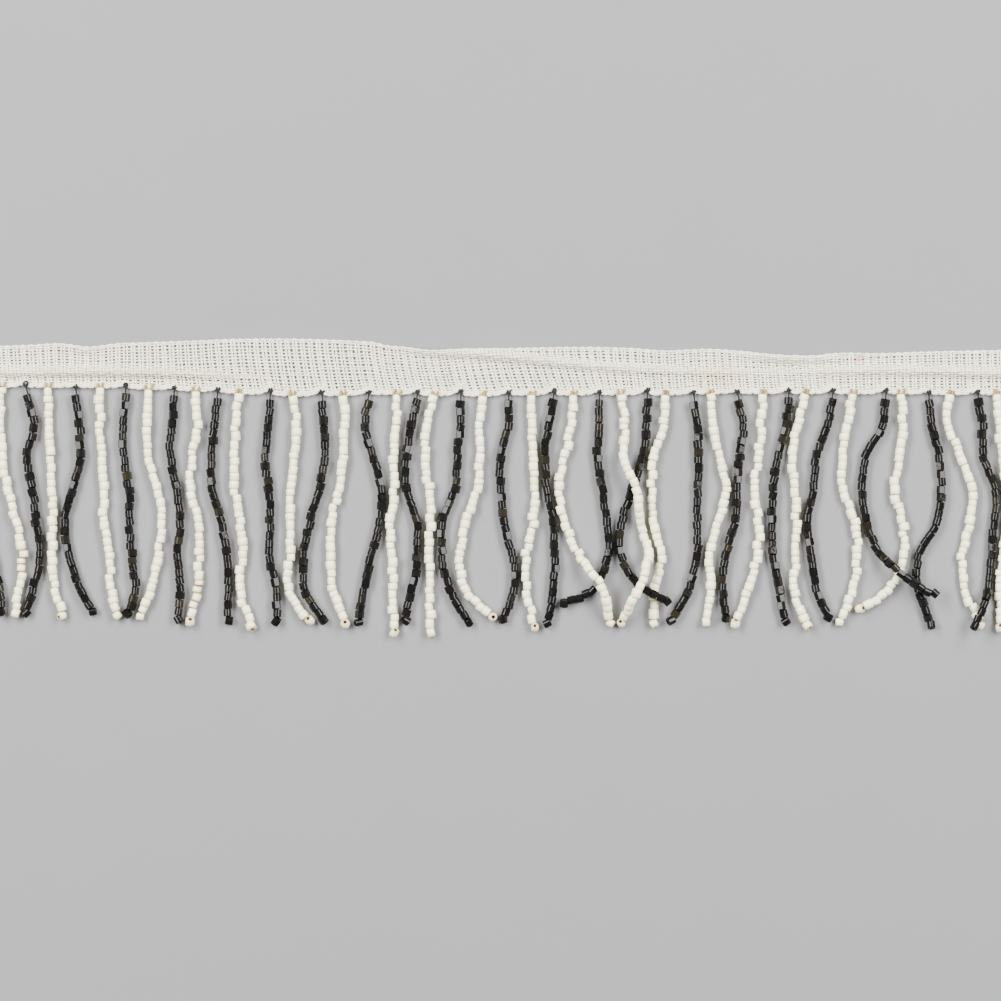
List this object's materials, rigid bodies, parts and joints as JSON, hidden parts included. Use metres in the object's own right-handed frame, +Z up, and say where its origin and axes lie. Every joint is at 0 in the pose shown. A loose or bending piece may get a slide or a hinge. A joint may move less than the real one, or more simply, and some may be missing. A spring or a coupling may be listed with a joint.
{
  "type": "beaded fringe trim",
  "caption": "Narrow gauze tape with alternating strands of ivory and black cylindrical beads sewn along one edge, a cut length lying flat, for edging cloth.",
  "frame": {"origin": "middle of the trim's footprint, on the surface that it lies on", "axes": "+X along the tape, +Y from the strands' tips towards the tape, +Z up from the surface"},
  "size_m": [0.225, 0.062, 0.0058],
  "materials": {
    "gauze": "loose plain-woven cotton, unbleached",
    "white_beads": "opaque ivory glass, softly glossy",
    "black_beads": "opaque black glass, glossy"
  },
  "bodies": {
    "root": {"tape": "gauze", "white_fringe": "white_beads", "black_fringe": "black_beads"}
  },
  "joints": []
}
